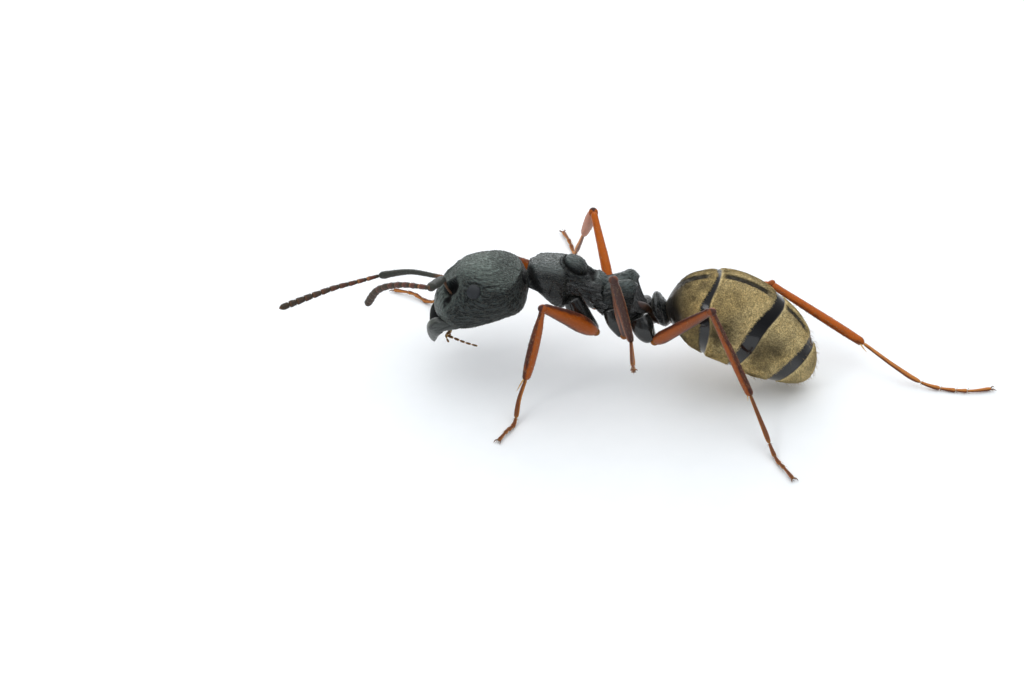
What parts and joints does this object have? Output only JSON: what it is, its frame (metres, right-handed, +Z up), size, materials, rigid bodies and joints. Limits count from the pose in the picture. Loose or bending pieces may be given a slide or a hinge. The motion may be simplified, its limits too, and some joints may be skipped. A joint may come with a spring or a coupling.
{
  "type": "ant model",
  "caption": "Life-size still model of a large black and golden worker ant, standing and looking about with one middle leg lifted clear of the floor.",
  "frame": {"origin": "on the floor, under the middle of the model's bounding box", "axes": "+Z up from the floor, +Y towards the tip of the gaster, so the ant faces -Y, +X towards the ant's left"},
  "size_m": [0.01, 0.0162, 0.0037],
  "materials": {
    "head_shell": "charcoal shell, finely wrinkled, with a thin grey bloom of short hair",
    "trunk_shell": "black shell, wrinkled on its sides, half matt",
    "gaster_shell": "brown-black shell under short olive-gold hair, with bare glossy bands",
    "eye": "dull slate facets",
    "mandible": "dark grey, smooth, half matt",
    "antenna": "dark brown, fine short hair",
    "palp": "golden brown, slightly see-through",
    "coxa": "black, half matt",
    "femur": "chestnut, slightly see-through",
    "tibia": "red-brown, slightly see-through",
    "tarsus": "amber, slightly see-through"
  },
  "bodies": {
    "root": {"head": "head_shell", "eye_left": "eye", "eye_right": "eye", "mandible_left": "mandible", "mandible_right": "mandible", "neck": "trunk_shell", "pronotum": "trunk_shell", "mesonotum": "trunk_shell", "propodeum": "trunk_shell", "petiole": "trunk_shell", "gaster_1": "gaster_shell", "gaster_2": "gaster_shell", "gaster_3": "gaster_shell", "gaster_4": "gaster_shell", "scape_left": "antenna", "scape_right": "antenna", "funiculus_left": "antenna", "funiculus_right": "antenna", "palps_left": "palp", "palps_right": "palp", "leg_left_front_coxa": "coxa", "leg_left_front_femur": "femur", "leg_left_front_tibia": "tibia", "leg_left_front_tarsus": "tarsus", "leg_left_middle_coxa": "coxa", "leg_left_middle_femur": "femur", "leg_left_middle_tibia": "tibia", "leg_left_middle_tarsus": "tarsus", "leg_left_hind_coxa": "coxa", "leg_left_hind_femur": "femur", "leg_left_hind_tibia": "tibia", "leg_left_hind_tarsus": "tarsus", "leg_right_front_coxa": "coxa", "leg_right_front_femur": "femur", "leg_right_front_tibia": "tibia", "leg_right_front_tarsus": "tarsus", "leg_right_middle_coxa": "coxa", "leg_right_middle_femur": "femur", "leg_right_middle_tibia": "tibia", "leg_right_middle_tarsus": "tarsus", "leg_right_hind_coxa": "coxa", "leg_right_hind_femur": "femur", "leg_right_hind_tibia": "tibia", "leg_right_hind_tarsus": "tarsus"}
  },
  "joints": []
}
